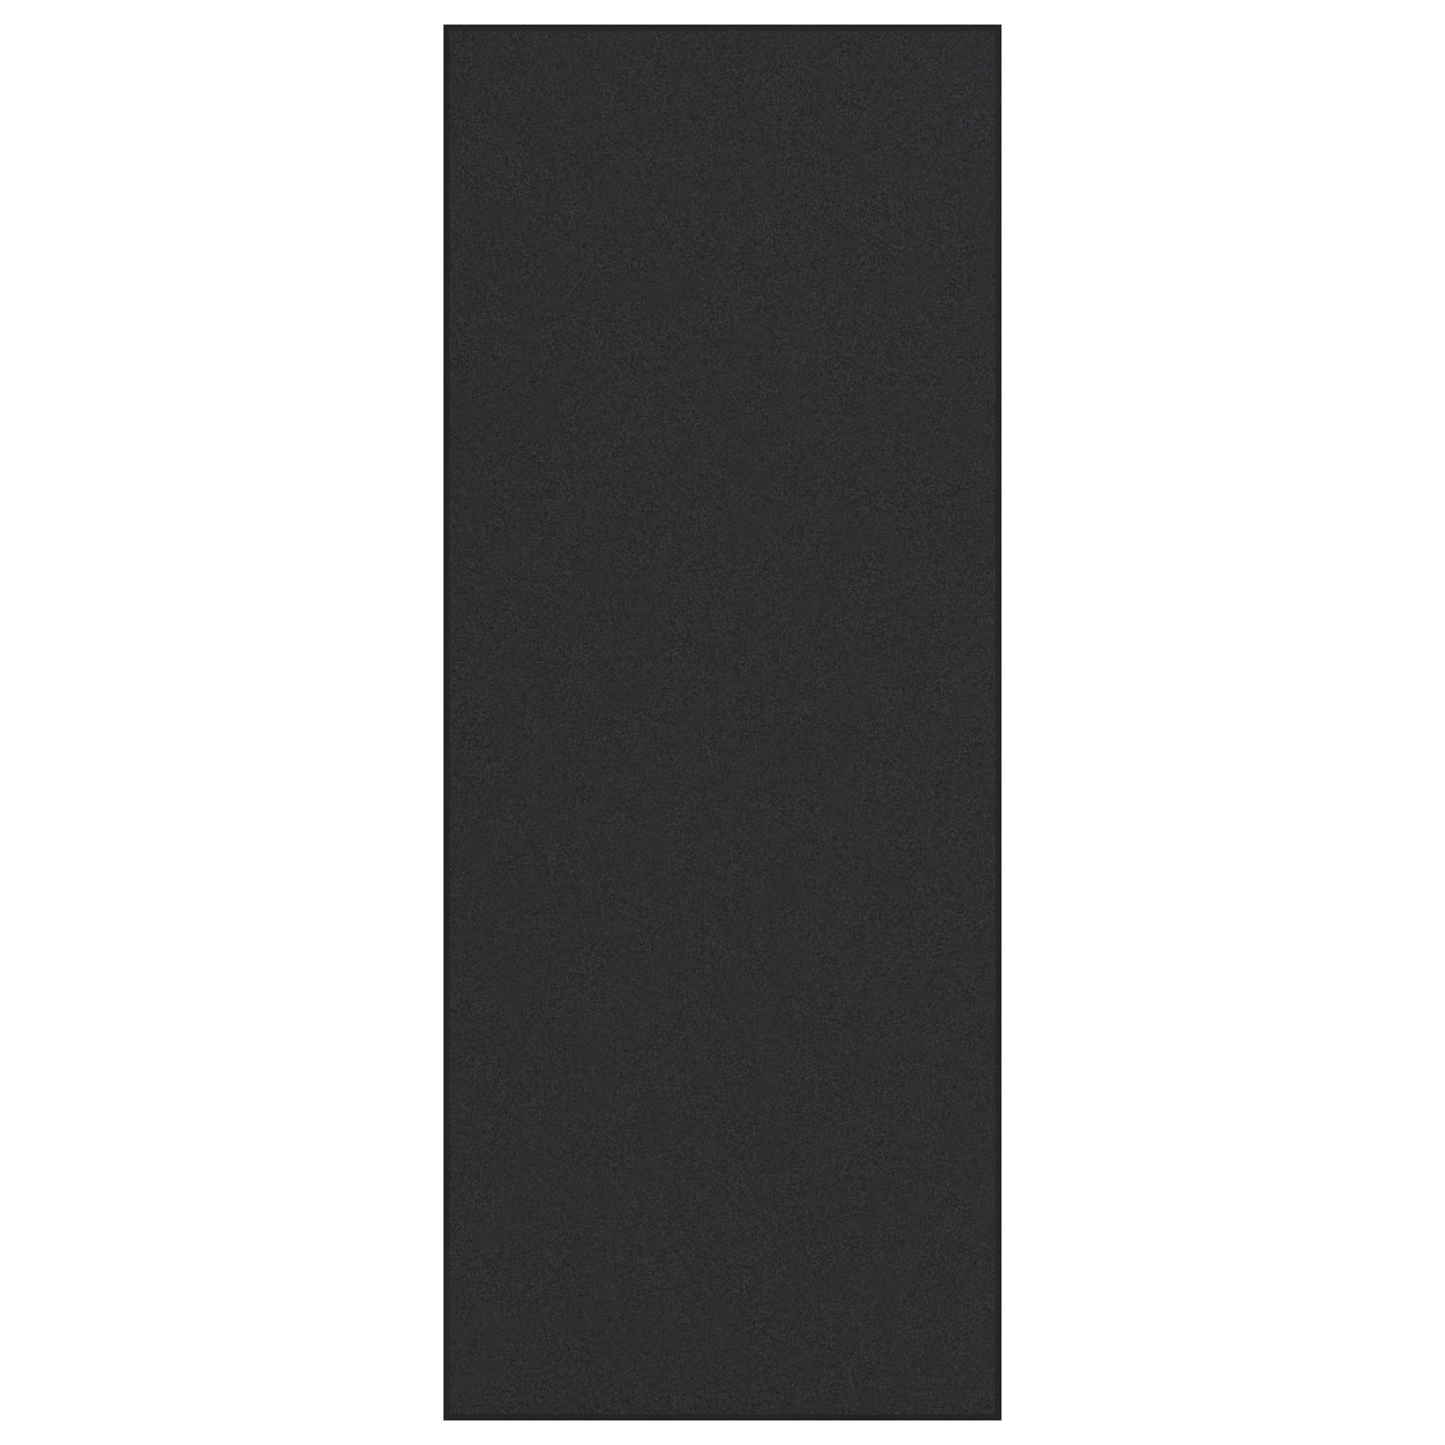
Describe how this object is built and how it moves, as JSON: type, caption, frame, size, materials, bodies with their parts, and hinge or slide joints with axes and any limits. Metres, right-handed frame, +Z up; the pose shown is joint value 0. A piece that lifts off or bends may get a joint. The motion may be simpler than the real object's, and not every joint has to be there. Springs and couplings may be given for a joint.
{
  "type": "kick plate",
  "caption": "Adhesive-backed door kick plate: a bevelled black board with a textured charcoal face and lined foam tape on its back.",
  "frame": {"origin": "centre of the plane that meets the door, which is the outer side of the release liners", "axes": "+Z up along the long side, +X across the short side, +Y into the door; the textured face looks towards -Y. On a door the plate is turned a quarter turn about Y, so that its long side lies level along the door's foot."},
  "size_m": [0.3048, 0.0044, 0.762],
  "materials": {
    "face": "matte",
    "core": "satin",
    "tape": "matte",
    "liner": "satin"
  },
  "bodies": {
    "root": {"face_sheet": "face", "core_board": "core", "left_rail_tape": "tape", "left_rail_liner": "liner", "right_rail_tape": "tape", "right_rail_liner": "liner", "rung_tape_1": "tape", "rung_liner_1": "liner", "rung_tape_2": "tape", "rung_liner_2": "liner", "rung_tape_3": "tape", "rung_liner_3": "liner", "rung_tape_4": "tape", "rung_liner_4": "liner", "rung_tape_5": "tape", "rung_liner_5": "liner"}
  },
  "joints": []
}
